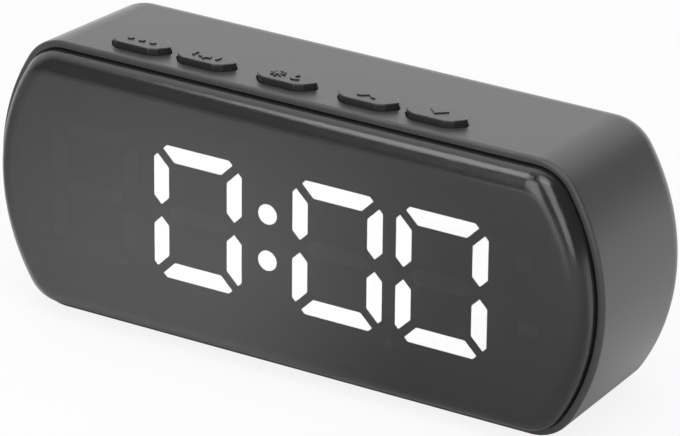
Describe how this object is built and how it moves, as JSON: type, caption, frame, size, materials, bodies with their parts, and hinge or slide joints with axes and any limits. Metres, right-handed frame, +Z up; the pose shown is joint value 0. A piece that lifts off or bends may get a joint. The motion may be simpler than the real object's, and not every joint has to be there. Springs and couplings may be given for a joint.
{
  "type": "digital led desk clock",
  "caption": "Wide desk clock with bulged ends, a proud smoked lens over lit bar digits, push buttons along the top and a battery door behind.",
  "frame": {"origin": "under the middle of the clock, on the surface that its pads stand on", "axes": "+X to the right seen from the front, +Y to the back, +Z up; the lens faces -Y"},
  "size_m": [0.15, 0.0434, 0.0645],
  "materials": {
    "case_plastic": "fine matte texture",
    "button_plastic": "satin",
    "smoked_lens": "semi gloss smoked",
    "adhesive": "matte",
    "light_box_plastic": "matte",
    "lit_diffuser": "frosted, lit white",
    "unlit_diffuser": "frosted, unlit",
    "led_body": "satin",
    "circuit_board": "solder mask",
    "chip_plastic": "matte",
    "plated_metal": "plated",
    "capacitor_sleeve": "shrunk sleeve",
    "screw_steel": "zinc plated",
    "ribbon_plastic": "flexible",
    "lead_sleeve": "insulated wire",
    "cell_can": "plain sleeve on a steel can",
    "contact_steel": "nickel plated",
    "buzzer_plastic": "matte",
    "pad_rubber": "matte",
    "switch_plastic": "satin"
  },
  "bodies": {
    "clock": {"housing": "case_plastic", "rear_cover": "case_plastic", "front_lens": "smoked_lens", "lens_adhesive": "adhesive", "light_box": "light_box_plastic", "hour_bars": "lit_diffuser", "tens_bars": "lit_diffuser", "units_bars": "lit_diffuser", "colon_dots": "lit_diffuser", "unlit_first_digit": "unlit_diffuser", "unlit_middle_bars": "unlit_diffuser", "unlit_marks": "unlit_diffuser", "segment_leds": "led_body", "main_board": "circuit_board", "key_board": "circuit_board", "power_board": "circuit_board", "controller_chip": "chip_plastic", "driver_chip": "chip_plastic", "board_transistors": "chip_plastic", "board_resistors": "chip_plastic", "clock_crystal": "plated_metal", "filter_capacitor": "capacitor_sleeve", "main_board_screws": "screw_steel", "display_screws": "screw_steel", "key_board_screws": "screw_steel", "power_board_screws": "screw_steel", "cover_screws": "screw_steel", "key_ribbon": "ribbon_plastic", "battery_leads": "lead_sleeve", "buzzer_leads": "lead_sleeve", "power_leads": "lead_sleeve", "aaa_cell_1": "cell_can", "aaa_cell_2": "cell_can", "aaa_cell_3": "cell_can", "battery_springs": "contact_steel", "contact_plates": "contact_steel", "buzzer": "buzzer_plastic", "power_socket": "plated_metal", "base_pads": "pad_rubber", "mode_switch": "switch_plastic", "alarm_switch": "switch_plastic", "snooze_switch": "switch_plastic", "up_switch": "switch_plastic", "down_switch": "switch_plastic"},
    "mode_key": {"mode_button": "button_plastic", "mode_plunger": "switch_plastic"},
    "alarm_key": {"alarm_button": "button_plastic", "alarm_plunger": "switch_plastic"},
    "snooze_key": {"snooze_button": "button_plastic", "snooze_plunger": "switch_plastic"},
    "up_key": {"up_button": "button_plastic", "up_plunger": "switch_plastic"},
    "down_key": {"down_button": "button_plastic", "down_plunger": "switch_plastic"},
    "door": {"battery_door": "case_plastic"}
  },
  "joints": [
    {"name": "mode_press", "type": "slide", "parent": "clock", "child": "mode_key", "axis": [0, -0.0612, -0.9981], "range_m": [0, 0.0005], "stiffness_N_per_m": 3000, "springref_m": -0.0001},
    {"name": "alarm_press", "type": "slide", "parent": "clock", "child": "alarm_key", "axis": [0, -0.0612, -0.9981], "range_m": [0, 0.0005], "stiffness_N_per_m": 3000, "springref_m": -0.0001},
    {"name": "snooze_press", "type": "slide", "parent": "clock", "child": "snooze_key", "axis": [0, -0.0612, -0.9981], "range_m": [0, 0.0005], "stiffness_N_per_m": 3000, "springref_m": -0.0001},
    {"name": "up_press", "type": "slide", "parent": "clock", "child": "up_key", "axis": [0, -0.0612, -0.9981], "range_m": [0, 0.0005], "stiffness_N_per_m": 3000, "springref_m": -0.0001},
    {"name": "down_press", "type": "slide", "parent": "clock", "child": "down_key", "axis": [0, -0.0612, -0.9981], "range_m": [0, 0.0005], "stiffness_N_per_m": 3000, "springref_m": -0.0001},
    {"name": "door_hinge", "type": "hinge", "parent": "clock", "child": "door", "pos_m": [0, 0.0217, 0.01208], "axis": [-1, 0, 0], "range_deg": [0, 60]}
  ]
}
